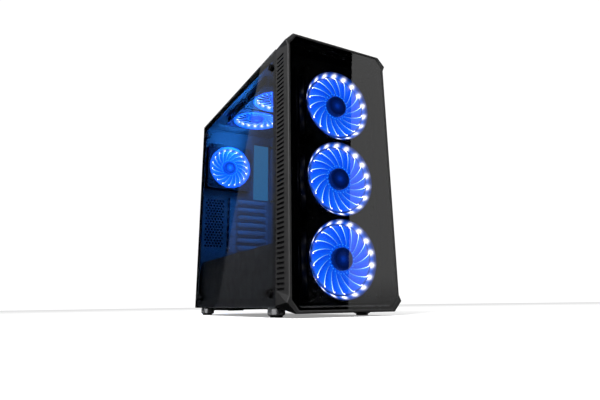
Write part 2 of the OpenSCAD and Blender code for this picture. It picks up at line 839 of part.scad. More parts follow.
module front_glass() {
    color("#101216", 0.5) sheet_y(y_front + front_glass_in, front_glass_t)
        polygon(glass_outline(gap));
}

// Mesh strips behind the side slots
module bezel_filters() {
    color("#0f0f10") for (s = [-1, 1]) {
        x = s * (body_w / 2 - mid_in - bezel_wall - 1.2);
        sheet_x(x - 0.4, 0.8) rect([y_front + 14, vent_z[0] - 6], [y_front + 44, vent_z[1] + 6]);
    }
}

module io_board() {
    color("#101214") sheet_z(board_z, board_t)
        rect([-deck_x, ports_y - 11], [deck_x, ports_y + 11]);
}

module front_ports() {
    z = board_z + board_t;
    top = deck_z - 0.5;
    color("#9a9da3") {
        for (x = usb_xs) translate([x - 7, ports_y - 3.4, z]) difference() {
            cube([14, 6.8, top - z]);
            translate([0.6, 0.6, 1]) cube([12.8, 5.6, top - z]);
        }
        for (x = usb_xs) translate([x - 5.6, ports_y + 0.2, z + 1]) cube([11.2, 1.8, top - z - 2]);
        for (x = jack_xs) difference() {
            rod_z([x, ports_y, z], 3, top - z);
            rod_z([x, ports_y, z + 1], 1.75, top - z);
        }
        for (x = [power_x, reset_x]) translate([x - 3, ports_y - 3, z]) cube([6, 6, 2]);
    }
}

module button(x, d) {
    z = board_z + board_t + 2 + button_travel + 0.2;
    under = deck_z - deck_t - gap;
    color("#2b2c2e") {
        rod_z([x, ports_y, z], d / 2 + 1.5, under - z);
        rod_z([x, ports_y, under - 0.1], d / 2, deck_z + 2 - under);
    }
}

// ---- Filters and feet ----------------------------------------------------------

module roof_filter() {
    a = [roof_fan_x - small_fan / 2 - 8, y_roof_fans[1] - small_fan / 2 - 10];
    b = [roof_fan_x + small_fan / 2 + 8, y_roof_fans[0] + small_fan / 2 + 10];
    color("#141415") {
        sheet_z(z_roof + 0.2, 2.6) difference() {
            round_rect(a, b, 6);
            rect(a + [6, 6], b - [6, 6]);
        }
        sheet_z(z_roof + 1.8, 0.6) rect(a + [5.9, 5.9], b - [5.9, 5.9]);
    }
}

module psu_filter() {
    a = [psu_x - filter_w / 2, filter_y[0] + gap];
    b = [psu_x + filter_w / 2, filter_y[1]];
    color("#141415") {
        sheet_z(z_base - 4.6, 4) difference() {
            rect(a, b);
            rect(a + [8, 8], b - [8, 14]);
        }
        sheet_z(z_base - 2.6, 0.6) rect(a + [7.9, 7.9], b - [7.9, 13.9]);
        translate([psu_x - 20, b[1] - 3, z_base - 8]) cube([40, 3, 4]);
    }
}

module feet() {
    color("#c9ccd1") each_foot() difference() {
        rotate_extrude($fn = 96) polygon([
            [2.2, 3], [foot_d / 2 - 2, 3], [foot_d / 2, 5], [foot_d / 2, foot_h - 2],
            [foot_d / 2 - 1, foot_h], [2.2, foot_h]
        ]);
        translate([0, 0, 2]) cylinder(r = foot_d / 2 - 4, h = 3, $fn = 64);
    }
}

module foot_pads() {
    color("#0c0c0d") each_foot() rotate_extrude($fn = 96) polygon([
        [0, 0], [foot_d / 2 - 5, 0], [foot_d / 2 - 4, 1], [foot_d / 2 - 4, 5], [0, 5]
    ]);
}

module each_foot() {
    for (s = [-1, 1], y = [y_body + foot_in_y, y_rear - foot_in_y])
        translate([s * foot_x, y, 0]) children();
}

// ---- The assembly --------------------------------------------------------------

base_pan();
front_wall();
fan_bracket();
rear_wall();
roof_panel();
window_frame();
right_frame();
motherboard_tray();
tray_grommets();
standoffs();
psu_shroud();
drive_cage();
drive_tray(tray_zs[1]);  // drive_tray_upper
drive_tray(tray_zs[0]);  // drive_tray_lower
ssd_bracket(ssd_zs[1]);  // ssd_bracket_upper
ssd_bracket(ssd_zs[0]);  // ssd_bracket_lower
for (i = [0:slot_count - 1])
    slot_cover(i);
slot_screws();
side_glass();
glass_bushings();
thumbscrew(screw_ys[0], screw_zs[0]);  // thumbscrew_front_top
thumbscrew(screw_ys[0], screw_zs[1]);  // thumbscrew_front_bottom
thumbscrew(screw_ys[1], screw_zs[0]);  // thumbscrew_rear_top
thumbscrew(screw_ys[1], screw_zs[1]);  // thumbscrew_rear_bottom
right_panel();
panel_screw(panel_screw_zs[0]);  // panel_screw_top
panel_screw(panel_screw_zs[1]);  // panel_screw_bottom
front_bezel();
front_glass();
bezel_filters();
io_board();
front_ports();
button(power_x, power_d);  // power_button
button(reset_x, reset_d);  // reset_button
at_front_fan(0) fan_frame(big);  // front_fan_top_frame
at_front_fan(0) fan_ring(big);  // front_fan_top_ring
at_front_fan(0) fan_rotor(big);  // front_fan_top_rotor
at_front_fan(1) fan_frame(big);  // front_fan_middle_frame
at_front_fan(1) fan_ring(big);  // front_fan_middle_ring
at_front_fan(1) fan_rotor(big);  // front_fan_middle_rotor
at_front_fan(2) fan_frame(big);  // front_fan_bottom_frame
at_front_fan(2) fan_ring(big);  // front_fan_bottom_ring
at_front_fan(2) fan_rotor(big);  // front_fan_bottom_rotor
at_rear_fan() small_frame();  // rear_fan_frame
at_rear_fan() fan_rotor(small);  // rear_fan_rotor
at_roof_fan(0) small_frame();  // roof_fan_rear_frame
at_roof_fan(0) fan_rotor(small);  // roof_fan_rear_rotor
at_roof_fan(1) small_frame();  // roof_fan_front_frame
at_roof_fan(1) fan_rotor(small);  // roof_fan_front_rotor
fan_screws();
roof_filter();
psu_filter();
feet();
foot_pads();
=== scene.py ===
# %% [markdown]
# # A glass-sided computer tower
# This lesson dresses a measured model of a mid-tower computer case. The steel, the screws and every
# place and size come from the frame that is loaded first, so nothing here is fitted by eye. What is
# left to do is what a product photographer and a finisher do: powder coat, moulded plastic, smoked
# glass, and the blue lit fans that the case is bought for.

import json
import math

import bmesh
import bpy
from mathutils import Matrix, Vector


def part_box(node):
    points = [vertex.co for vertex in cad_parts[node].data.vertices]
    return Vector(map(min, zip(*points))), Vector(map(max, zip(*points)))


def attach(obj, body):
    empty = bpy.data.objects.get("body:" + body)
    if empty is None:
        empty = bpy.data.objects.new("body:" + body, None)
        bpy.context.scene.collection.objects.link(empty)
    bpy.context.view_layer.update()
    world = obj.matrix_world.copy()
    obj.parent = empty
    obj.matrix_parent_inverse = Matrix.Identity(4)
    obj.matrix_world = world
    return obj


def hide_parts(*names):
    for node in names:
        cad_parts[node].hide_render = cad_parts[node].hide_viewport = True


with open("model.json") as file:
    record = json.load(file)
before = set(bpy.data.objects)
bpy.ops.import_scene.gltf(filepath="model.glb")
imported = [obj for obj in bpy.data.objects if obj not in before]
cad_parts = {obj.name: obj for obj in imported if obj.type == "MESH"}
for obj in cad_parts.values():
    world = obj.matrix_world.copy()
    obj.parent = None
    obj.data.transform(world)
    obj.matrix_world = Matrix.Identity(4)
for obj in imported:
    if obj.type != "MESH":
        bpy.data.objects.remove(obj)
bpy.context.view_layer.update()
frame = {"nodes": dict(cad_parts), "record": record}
MM = 0.001

# %% [markdown]
# The camera stands very low, just in front of the case's left front corner, and looks up along it.
# A low camera makes a case look like a building, which is why makers like it. A lens shift frames the
# case without tilting the camera further, as a view camera's rising front does.

# %% Stand the camera low at the front left corner
EYE = Vector((-438.9, -899.5, 20.0)) * MM
YAW, PITCH, ROLL = (math.radians(a) for a in (28.76, 16.74, -0.82))

lens = bpy.data.cameras.new("low_camera")
lens.sensor_width = 36.0
lens.lens = 27.557
lens.shift_x = -0.0016
lens.shift_y = -0.0557
lens.clip_start = 0.005
camera = bpy.data.objects.new("low_camera", lens)
bpy.context.scene.collection.objects.link(camera)
turn = Matrix.Rotation(-YAW, 4, "Z") @ Matrix.Rotation(math.pi / 2 + PITCH, 4, "X")
camera.matrix_world = Matrix.Translation(EYE) @ turn @ Matrix.Rotation(ROLL, 4, "Z")
bpy.context.scene.camera = camera
bpy.context.scene.view_settings.view_transform = "Standard"

# %% [markdown]
# Small tools come first. A bench has a drawer of them, and so does a script: one makes a mesh from
# points, one spins a profile round an axis as a lathe does, and one says what body a piece belongs to.
# Sizes are in millimetres, as on a drawing, and are scaled once when the mesh is made.

# %% Mesh helpers
def shown(mesh, name, material, sharp=35):
    """Put a mesh in the scene, smooth except along edges sharper than `sharp` degrees."""
    mesh.materials.append(material)
    mesh.polygons.foreach_set("use_smooth", [True] * len(mesh.polygons))
    mesh.set_sharp_from_angle(angle=math.radians(sharp))
    piece = bpy.data.objects.new(name, mesh)
    bpy.context.scene.collection.objects.link(piece)
    return piece


def from_points(name, points, faces, material, place=Matrix(), sharp=35):
    """A piece from points in millimetres, put where the matrix `place` says."""
    mesh = bpy.data.meshes.new(name)
    mesh.from_pydata([place @ (Vector(p) * MM) for p in points], [], faces)
    mesh.validate()
    return shown(mesh, name, material, sharp)


def lathe(profile, steps=96, closed=True):
    """Points and faces of a profile of (radius, height) spun round Z."""
    points, faces = [], []
    count = len(profile)
    for k in range(steps):
        a = 2 * math.pi * k / steps
        points += [(r * math.cos(a), r * math.sin(a), z) for r, z in profile]
    for k in range(steps):
        near, far = k * count, (k + 1) % steps * count
        for i in range(count if closed else count - 1):
            j = (i + 1) % count
            faces.append((near + i, far + i, far + j, near + j))
    return points, faces


def joined(*shapes):
    """Several (points, faces) shapes as one."""
    points, faces = [], []
    for more_points, more_faces in shapes:
        start = len(points)
        points += more_points
        faces += [tuple(start + i for i in face) for face in more_faces]
    return points, faces


def belongs(piece, body, slot, *nodes):
    """The piece moves with `body` and stands for `nodes`, which are hidden. `slot` is not used."""
    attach(piece, body)
    if nodes:
        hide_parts(*nodes)
    return piece


# %% [markdown]
# Materials are built from a few nodes each. Moulded plastic and powder coat are never perfectly
# smooth: one has a fine spark-eroded grain, the other a faint orange peel. Both are noise a fraction
# of a millimetre across that tilts the surface and varies its gloss, so one helper makes both.

# %% Material helpers
def principled(name, color, rough, metallic=0.0):
    """A new material and its main shader."""
    material = bpy.data.materials.new(name)
    material.use_nodes = True
    shader = material.node_tree.nodes["Principled BSDF"]
    shader.inputs["Base Color"].default_value = (*color, 1)
    shader.inputs["Roughness"].default_value = rough
    shader.inputs["Metallic"].default_value = metallic
    return material, shader


def add(material, kind, **values):
    """A node of `kind`, with its inputs or settings given by name."""
    node = material.node_tree.nodes.new(kind)
    for key, value in values.items():
        if hasattr(node, key):
            setattr(node, key, value)
        else:
            node.inputs[key.replace("_", " ")].default_value = value
    return node


def noise(material, size, detail=2.0):
    """Noise whose lumps are about `size` millimetres across, fixed to the piece."""
    place = add(material, "ShaderNodeTexCoord")
    texture = add(material, "ShaderNodeTexNoise", Scale=1 / (size * MM), Detail=detail)
    material.node_tree.links.new(place.outputs["Object"], texture.inputs["Vector"])
    return texture.outputs["Fac"]


def ranged(material, source, low, high, start=0.3, end=0.7):
    """Map a noise from its useful middle range onto low..high."""
    node = add(material, "ShaderNodeMapRange", From_Min=start, From_Max=end, To_Min=low, To_Max=high)
    material.node_tree.links.new(source, node.inputs["Value"])
    return node.outputs["Result"]


def grain(material, shader, size, depth, rough_low, rough_high, patch=18):
    """Fine lumps `size` across and `depth` deep, with gloss that drifts over patches."""
    link = material.node_tree.links.new
    bump = add(material, "ShaderNodeBump", Strength=0.6, Distance=depth * MM)
    link(noise(material, size, 3.0), bump.inputs["Height"])
    link(bump.outputs["Normal"], shader.inputs["Normal"])
    link(ranged(material, noise(material, patch), rough_low, rough_high), shader.inputs["Roughness"])


def mottled(material, shader, dark, light, patch):
    """Let the colour wander a little between two tones."""
    mix = add(material, "ShaderNodeMix", data_type="RGBA")
    mix.inputs[6].default_value = (*dark, 1)
    mix.inputs[7].default_value = (*light, 1)
    material.node_tree.links.new(
        ranged(material, noise(material, patch, 4.0), 0, 1), mix.inputs["Factor"])
    material.node_tree.links.new(mix.outputs[2], shader.inputs["Base Color"])


# %% [markdown]
# The case's own finishes follow. The steel is powder coated: baked black resin over sheet metal, with
# a soft wide sheen. The bezel is moulded with a finer, drier grain, and it is a little greyer where
# light rakes over it. The fans' frames are a plain slick plastic, because nobody looks at them.

# %% Powder coat and moulded plastics
def powder_coat(name, dark, light):
    material, shader = principled(name, dark, 0.5)
    mottled(material, shader, dark, light, 30)
    grain(material, shader, 0.9, 0.035, 0.42, 0.56)
    return material


def moulded(name, dark, light, size, depth, rough):
    material, shader = principled(name, dark, rough)
    mottled(material, shader, dark, light, 12)
    grain(material, shader, size, depth, rough - 0.06, rough + 0.06)
    return material


case_steel = powder_coat("black_powder_coat", (0.018, 0.018, 0.02), (0.026, 0.026, 0.029))
tray_steel = powder_coat("tray_powder_coat", (0.035, 0.036, 0.04), (0.05, 0.051, 0.056))
bezel_plastic = moulded("bezel_plastic", (0.03, 0.03, 0.031), (0.04, 0.04, 0.041), 0.35, 0.03, 0.5)
fan_plastic = moulded("fan_plastic", (0.006, 0.006, 0.007), (0.009, 0.009, 0.01), 0.6, 0.01, 0.32)
drive_plastic = moulded("drive_plastic", (0.04, 0.04, 0.043), (0.055, 0.055, 0.06), 0.3, 0.02, 0.55)

# %% [markdown]
# Rubber, screws and bright metal. A screw is black anodised and catches light on its knurls. The feet
# are satin chrome: a soft mirror, with the faintest polishing lines running round each foot.

# %% Rubber, screws, chrome and brass
rubber, shader = principled("soft_rubber", (0.012, 0.012, 0.012), 0.78)
grain(rubber, shader, 0.5, 0.02, 0.7, 0.85, 6)

screw_black, shader = principled("black_anodised", (0.012, 0.012, 0.013), 0.35, 0.6)
grain(screw_black, shader, 0.25, 0.01, 0.28, 0.42, 3)

zinc, shader = principled("dark_zinc", (0.3, 0.3, 0.32), 0.35, 1.0)
grain(zinc, shader, 0.3, 0.008, 0.28, 0.45, 2)

brass, shader = principled("turned_brass", (0.62, 0.45, 0.2), 0.28, 1.0)
grain(brass, shader, 0.2, 0.008, 0.22, 0.34, 2)

port_steel, shader = principled("plated_shell", (0.55, 0.56, 0.58), 0.25, 1.0)
grain(port_steel, shader, 0.3, 0.005, 0.2, 0.32, 3)

chrome, shader = principled("chrome", (0.82, 0.83, 0.85), 0.16, 0.6)
lines = add(chrome, "ShaderNodeTexWave", wave_type="BANDS", bands_direction="Z",
            Scale=900.0, Distortion=0.6, Detail=1.0)
where = add(chrome, "ShaderNodeTexCoord")
tilt = add(chrome, "ShaderNodeBump", Strength=0.15, Distance=0.005 * MM)
chrome.node_tree.links.new(where.outputs["Object"], lines.inputs["Vector"])
chrome.node_tree.links.new(lines.outputs["Fac"], tilt.inputs["Height"])
chrome.node_tree.links.new(tilt.outputs["Normal"], shader.inputs["Normal"])
chrome.node_tree.links.new(
    ranged(chrome, noise(chrome, 5), 0.14, 0.22), shader.inputs["Roughness"])

# %% [markdown]
# Filters are a woven nylon mesh. Half a million real threads would be wasted on them, so two crossed
# waves raise the threads in relief and sink the holes between them, and the holes are painted near
# black as painted shade for the dark that shows through them.

# %% Woven filter mesh
def woven(name, pitch):
    """Threads `pitch` millimetres apart in the X and Y, or Y and Z, directions."""
    material, shader = principled(name, (0.02, 0.02, 0.021), 0.6)
    link = material.node_tree.links.new
    place = add(material, "ShaderNodeTexCoord")
    heights = []
    for direction in "XYZ":
        wave = add(material, "ShaderNodeTexWave", bands_direction=direction,
                   wave_profile="SIN", Scale=math.pi / (10 * pitch * MM) * 2)
        link(place.outputs["Object"], wave.inputs["Vector"])
        heights.append(wave.outputs["Fac"])
    over = heights[0]
    for other in heights[1:]:
        both = add(material, "ShaderNodeMath", operation="MAXIMUM")
        link(over, both.inputs[0])
        link(other, both.inputs[1])
        over = both.outputs["Value"]
    bump = add(material, "ShaderNodeBump", Strength=0.7, Distance=0.15 * MM)
    link(over, bump.inputs["Height"])
    link(bump.outputs["Normal"], shader.inputs["Normal"])
    # painted shade: the holes between the threads are coloured near black, the threads dark grey
    mix = add(material, "ShaderNodeMix", data_type="RGBA")
    mix.inputs[6].default_value = (0.002, 0.002, 0.002, 1)
    mix.inputs[7].default_value = (0.035, 0.035, 0.037, 1)
    link(ranged(material, over, 0, 1, 0.6, 0.95), mix.inputs["Factor"])
    link(mix.outputs[2], shader.inputs["Base Color"])
    return material


filter_mesh = woven("woven_filter", 1.1)

# %% [markdown]
# The port board is laminate with a black solder mask, which is a glossy lacquer over the copper, so
# the tracks show as slightly raised, slightly lighter lines. A brick pattern of long thin cells is
# close to a real board's runs of parallel tracks.

# %% Circuit board
board_black, shader = principled("solder_mask", (0.006, 0.007, 0.007), 0.3)
tracks = add(board_black, "ShaderNodeTexBrick", Scale=120.0, Mortar_Size=0.03, Row_Height=0.12)
tracks.inputs["Color1"].default_value = (0.005, 0.006, 0.006, 1)
tracks.inputs["Color2"].default_value = (0.007, 0.008, 0.008, 1)
tracks.inputs["Mortar"].default_value = (0.02, 0.024, 0.022, 1)
where = add(board_black, "ShaderNodeTexCoord")
board_black.node_tree.links.new(where.outputs["Object"], tracks.inputs["Vector"])
board_black.node_tree.links.new(tracks.outputs["Color"], shader.inputs["Base Color"])
raise_tracks = add(board_black, "ShaderNodeBump", Strength=0.4, Distance=0.03 * MM)
board_black.node_tree.links.new(tracks.outputs["Fac"], raise_tracks.inputs["Height"])
board_black.node_tree.links.new(raise_tracks.outputs["Normal"], shader.inputs["Normal"])

# %% [markdown]
# Both windows are tempered glass, smoked all through. Real thickness is used, so light is tinted on
# its way in and again on its way out, and both faces reflect. The front one is darker and has a
# half-mirror coat, so by day it hides the case behind it and lets only the lit fans through. A coat
# like that bends no light, but it reflects as a glass of higher index does, and that is how it is set.

# %% Smoked glass
def smoked_glass(name, tint, index):
    material, shader = principled(name, tint, 0.0)
    shader.inputs["Transmission Weight"].default_value = 1.0
    shader.inputs["IOR"].default_value = index
    return material


side_smoke = smoked_glass("side_smoked_glass", (0.58, 0.61, 0.66), 1.5)
front_smoke = smoked_glass("front_smoked_glass", (0.42, 0.43, 0.46), 1.9)

# %% [markdown]
# Now every piece of the frame that keeps its shape gets its finish. The record names each node's
# finish, so one table from those names to the materials above dresses the whole case at once.

# %% Dress the frame's own pieces
FINISH = {
    "black_steel": case_steel,
    "bezel_plastic": bezel_plastic,
    "side_glass": side_smoke,
    "front_glass": front_smoke,
    "fan_plastic": fan_plastic,
    "light_ring": fan_plastic,
    "lit_blades": fan_plastic,
    "rubber": rubber,
    "brass": brass,
    "tray_plastic": drive_plastic,
    "zinc_screws": zinc,
    "black_screws": screw_black,
    "filter_mesh": filter_mesh,
    "circuit_board": board_black,
    "port_metal": port_steel,
    "chrome": chrome,
}
for part in frame["record"]["subparts"]:
    node = frame["nodes"][part["node"]]
    node.data.materials.clear()
    node.data.materials.append(FINISH[part["material_slot"]])
for name in ["motherboard_tray", "psu_shroud", *(f"slot_cover_{i}" for i in range(1, 8))]:
    frame["nodes"][name].data.materials[0] = tray_steel

# %% [markdown]
# No moulding has a perfectly sharp edge, and it is the thin bright line along each rounded edge that
# tells the eye it is plastic. The bezel, the buttons and the screws are therefore copied, welded, and
# given a small bevel that catches the light.

# %% Round the edges of moulded and turned pieces
def rounded(node, body, slot, radius, segments=2, limit=24):
    """A copy of a frame piece with its edges rounded, which stands for it."""
    source = frame["nodes"][node]
    shape = bmesh.new()
    shape.from_mesh(source.data)
    bmesh.ops.remove_doubles(shape, verts=shape.verts, dist=0.01 * MM)
    bmesh.ops.dissolve_limit(shape, angle_limit=math.radians(0.5), use_dissolve_boundaries=False,
                             verts=shape.verts, edges=shape.edges)
    mesh = bpy.data.meshes.new(node + "_rounded")
    shape.to_mesh(mesh)
    shape.free()
    piece = shown(mesh, node + "_rounded", source.data.materials[0], 30)
    bevel = piece.modifiers.new("rounded edges", "BEVEL")
    bevel.width = radius * MM
    bevel.segments = segments
    bevel.limit_method = "ANGLE"
    bevel.angle_limit = math.radians(limit)
    bevel.harden_normals = True
    return belongs(piece, body, slot, node)


rounded("front_bezel", "bezel", "bezel_plastic", 0.45)
rounded("power_button", "power_button", "bezel_plastic", 0.4, 3)
rounded("reset_button", "reset_button", "bezel_plastic", 0.3, 3)
for corner in ["front_top", "front_bottom", "rear_top", "rear_bottom"]:
    rounded("thumbscrew_" + corner, "thumbscrew_" + corner, "black_screws", 0.25, 1)

# %% [markdown]
# A slot cover is stamped with a long raised rib, which stops the thin sheet from ringing. The rib is
# what shows inside: light from the roof falls on its upper side and leaves the lower side dark. It is
# a half-round ridge with rounded ends, laid on the flat cover.

# %% Ribs on the slot covers
RIB_HEIGHT, RIB_RISE = 13.0, 2.6
RIB_FROM_FOOT, RIB_FROM_LEDGE = 22, 10


def rib(cover, around=12, cap=6):
    low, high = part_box(cover)
    middle = (low.z + high.z) / 2 / MM
    left, right, face = low.x / MM + RIB_FROM_FOOT, high.x / MM - RIB_FROM_LEDGE, low.y / MM
    half = RIB_HEIGHT / 2
    stations = [(left + half * (1 - math.cos(a)), math.sin(a))
                for a in (math.pi / 2 * k / cap for k in range(1, cap + 1))]
    stations += [(right - half * (1 - math.cos(a)), math.sin(a))
                 for a in (math.pi / 2 * k / cap for k in range(cap, 0, -1))]
    points, faces = [], []
    for x, size in stations:
        for k in range(around + 1):
            a = math.pi * k / around
            points.append((x, face - RIB_RISE * math.sin(a) * size,
                           middle + half * math.cos(a) * size))
    row = around + 1
    for i in range(len(stations) - 1):
        for k in range(around):
            faces.append((i * row + k, i * row + k + 1, (i + 1) * row + k + 1, (i + 1) * row + k))
    faces.append(tuple(range(around, -1, -1)))
    faces.append(tuple((len(stations) - 1) * row + k for k in range(row)))
    for i in range(len(stations) - 1):
        faces.append((i * row + around, i * row, (i + 1) * row, (i + 1) * row + around))
    piece = from_points(cover + "_rib", points, faces, tray_steel, sharp=50)
    return belongs(piece, "chassis", "black_steel")


for number in range(1, 8):
    rib(f"slot_cover_{number}")

# %% [markdown]
# The lit fans are the heart of this case. Each one has a ring of blue lamps in its frame that shine
# inward along clear blades. Light runs along a blade's front edge and leaks out there, so every blade
# shows as a white-blue streak that fades towards the hub, on a disc of saturated blue. A glowing
# disc with a picture on it would be quicker, but from any other side it would give itself away.
# So each blade is a real pitched sheet with a ridge along its front edge. The light is painted on
# the points of each mesh. The front fans and the inner ones each have a power of their own, because
# they stand behind different glass.

# %% Light colours
DEEP = (0.0, 0.02, 0.3)
BLUE = (0.003, 0.085, 0.9)
AZURE = (0.02, 0.34, 1.0)
ICE = (0.5, 0.88, 1.0)
WHITE = (1.0, 0.98, 0.94)
FRONT_POWER = 3.5
INNER_POWER = 3.6


def blended(a, b, t):
    t = min(max(t, 0.0), 1.0)
    return tuple(x + (y - x) * t for x, y in zip(a, b))


def times(color, amount):
    return tuple(c * amount for c in color)


def lit(name, strength, base, rough=0.25):
    """Plastic that glows in the colour painted on its points by `paint`."""
    material, shader = principled(name, base, rough)
    link = material.node_tree.links.new
    glow = add(material, "ShaderNodeVertexColor", layer_name="glow")
    flicker = add(material, "ShaderNodeMix", data_type="RGBA", blend_type="MULTIPLY")
    flicker.inputs["Factor"].default_value = 0.3
    link(glow.outputs["Color"], flicker.inputs[6])
    link(ranged(material, noise(material, 2.2, 3.0), 0.3, 1.0), flicker.inputs[7])
    link(flicker.outputs[2], shader.inputs["Emission Color"])
    shader.inputs["Emission Strength"].default_value = strength
    material.cycles.emission_sampling = "NONE"
    return material


def paint(piece, colors):
    """Give each point of a piece its own light colour."""
    layer = piece.data.color_attributes.new("glow", "FLOAT_COLOR", "POINT")
    layer.data.foreach_set("color", [v for c in colors for v in (*c, 1.0)])


def fan_plastics(place, power):
    """The four glowing plastics of a fan that is driven at `power`."""
    return {
        "blade": lit(place + "_blade", power, (0.01, 0.04, 0.2)),
        "streak": lit(place + "_streak", power, (0.2, 0.3, 0.5)),
        "ring": lit(place + "_ring", power, (0.01, 0.04, 0.2)),
        "hub": lit(place + "_hub", power, (0.006, 0.01, 0.03), 0.3),
    }


front_plastics = fan_plastics("front_fan", FRONT_POWER)
inner_plastics = fan_plastics("inner_fan", INNER_POWER)

# %% [markdown]
# A fan is drawn about its own axis, back at zero and lit face forward, and a matrix then stands it
# where its frame node says. Front and rear fans face the front; the two under the roof face down.
# The rear and roof fans turn the other way, so their blades are the mirror image.

# %% Where each fan stands
SHAFT_START = 2.0
FACE = 25.0
BLADES = 18
SWEEP = math.radians(38)
FIRST_LAMP = math.radians(12)
FRONT_FAN = {"bore": 61.0, "ring": 67.5, "hub": 19.4, "down": False, "big": True,
             "plastics": front_plastics, "hub_glow": 1.0, "pool": 1.0, "streak": 1.0}
REAR_FAN = {"bore": 51.5, "ring": 57.0, "hub": 17.0, "down": False, "big": False,
            "plastics": inner_plastics, "hub_glow": 7.0, "pool": 0.3, "streak": 0.45}
ROOF_FAN = {**REAR_FAN, "down": True}
FANS = {
    "front_fan_top": FRONT_FAN,
    "front_fan_middle": FRONT_FAN,
    "front_fan_bottom": FRONT_FAN,
    "rear_fan": REAR_FAN,
    "roof_fan_rear": ROOF_FAN,
    "roof_fan_front": ROOF_FAN,
}


def fan_place(rotor, down):
    """The matrix from a fan's own axes, back at zero, to its place in the case."""
    low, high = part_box(rotor)
    middle = (low + high) / 2
    if down:
        back = Vector((middle.x, middle.y, high.z + SHAFT_START * MM))
        return Matrix.Translation(back) @ Matrix.Rotation(math.pi, 4, "X")
    back = Vector((middle.x, high.y + SHAFT_START * MM, middle.z))
    return Matrix.Translation(back) @ Matrix.Rotation(math.pi / 2, 4, "X")


# %% [markdown]
# A blade is swept like a comma: its angle grows with distance from the hub, fast at first and then
# hardly at all, so the outer half of it is nearly straight. Its front edge stands near the lit face
# and its back edge sits deeper, so neighbouring blades overlap like a fan of cards and the disc looks
# full from the front. Light is painted on it, brightest near the tip by the lamps, and painted shade
# dims it to near dark over the tip's last few millimetres.

# %% Blades
TIP_DEPTH, ROOT_DEPTH = 19.0, 15.5
DARK_TIP = 2.6


def blade_angle(t):
    return SWEEP * t ** 0.72


def blade_height(t):
    return ROOT_DEPTH + (TIP_DEPTH - ROOT_DEPTH) * t


def blade(hub, tip, along=14, across=5):
    """Points, faces and light of one pitched blade from the hub to its tip."""
    chord, rise, thick = math.radians(27), 6.5, 0.8
    points, colors = [], []
    for side in (0, 1):
        for i in range(along + 1):
            t = i / along
            r = hub + (tip - hub) * t
            for j in range(across + 1):
                s = j / across
                a = blade_angle(t) - chord * (1 - 0.1 * t) * s
                z = blade_height(t) - rise * (s ** 1.15) * (0.75 + 0.25 * t) - thick * side
                points.append((r * math.cos(a), r * math.sin(a), z))
                tone = blended(times(BLUE, 0.62), BLUE, (1 - s) ** 1.2 + 0.25)
                tone = blended(tone, AZURE, 0.3 * (1 - s) ** 4)
                tone = blended(tone, ICE, 0.2 * max(0.0, t - 0.85) / 0.15 * (1 - s) ** 2)
                # painted shade: the blade's glow dims to near dark over its last few millimetres
                tip_shade = 1 - 0.88 * min(max((r - tip + DARK_TIP + 1) / DARK_TIP, 0.0), 1.0)
                colors.append(times(tone, tip_shade * (0.72 + 0.4 * t ** 1.5)))
    row, sheet = across + 1, (along + 1) * (across + 1)
    faces = []
    for i in range(along):
        for j in range(across):
            a, b, c, d = i * row + j, (i + 1) * row + j, (i + 1) * row + j + 1, i * row + j + 1
            faces.append((a, b, c, d))
            faces.append((sheet + d, sheet + c, sheet + b, sheet + a))
    edge = [i * row for i in range(along + 1)]
    edge += [along * row + j for j in range(1, across + 1)]
    edge += [i * row + across for i in range(along - 1, -1, -1)]
    edge += list(range(across - 1, 0, -1))
    for a, b in zip(edge, edge[1:] + edge[:1]):
        faces.append((b, a, sheet + a, sheet + b))
    return points, faces, colors


def turned(points, angle):
    c, s = math.cos(angle), math.sin(angle)
    return [(x * c - y * s, x * s + y * c, z) for x, y, z in points]


def all_round(part, count, start=0.0):
    """`count` copies of (points, faces, colours) round the Z axis."""
    points, faces, colors = [], [], []
    for k in range(count):
        first = len(points)
        points += turned(part[0], start + 2 * math.pi * k / count)
        faces += [tuple(first + i for i in face) for face in part[1]]
        colors += part[2]
    return points, faces, colors


def mirrored(part):
    """The same (points, faces, colours) seen in a mirror, with its faces turned back outwards."""
    points, faces, colors = part
    return [(x, -y, z) for x, y, z in points], [face[::-1] for face in faces], colors


# %% [markdown]
# The streak is the light that leaks from the blade's front edge. It is modelled as a slim rounded
# ridge that narrows towards the hub, white at the tip and blue where it starts. A bead at the tip is
# the lamp's own image in the end of the blade.

# %% Streaks and beads
STREAK_START = 7.5


def streak(hub, tip, strength, along=22, sides=6):
    """A tapering ridge along a blade's front edge."""
    points, faces, colors = [], [], []
    for i in range(along + 1):
        t = i / along
        r = hub + STREAK_START + (tip - DARK_TIP - hub - STREAK_START) * t
        where = (r - hub) / (tip - hub)
        a = blade_angle(where)
        width = 0.3 + 0.42 * t
        for k in range(sides):
            b = 2 * math.pi * k / sides
            side, up = width * math.cos(b), 0.5 * width * math.sin(b)
            points.append((r * math.cos(a) - side * math.sin(a),
                           r * math.sin(a) + side * math.cos(a), blade_height(where) + 0.2 + up))
            tone = blended(AZURE, blended(ICE, WHITE, 3 * t - 2.2), 0.2 + 0.95 * t)
            colors.append(times(tone, strength * (0.5 + 1.4 * t ** 1.8)))
    for i in range(along):
        for k in range(sides):
            n = (k + 1) % sides
            faces.append((i * sides + k, i * sides + n, (i + 1) * sides + n, (i + 1) * sides + k))
    faces.append(tuple(range(sides - 1, -1, -1)))
    faces.append(tuple(along * sides + k for k in range(sides)))
    return points, faces, colors


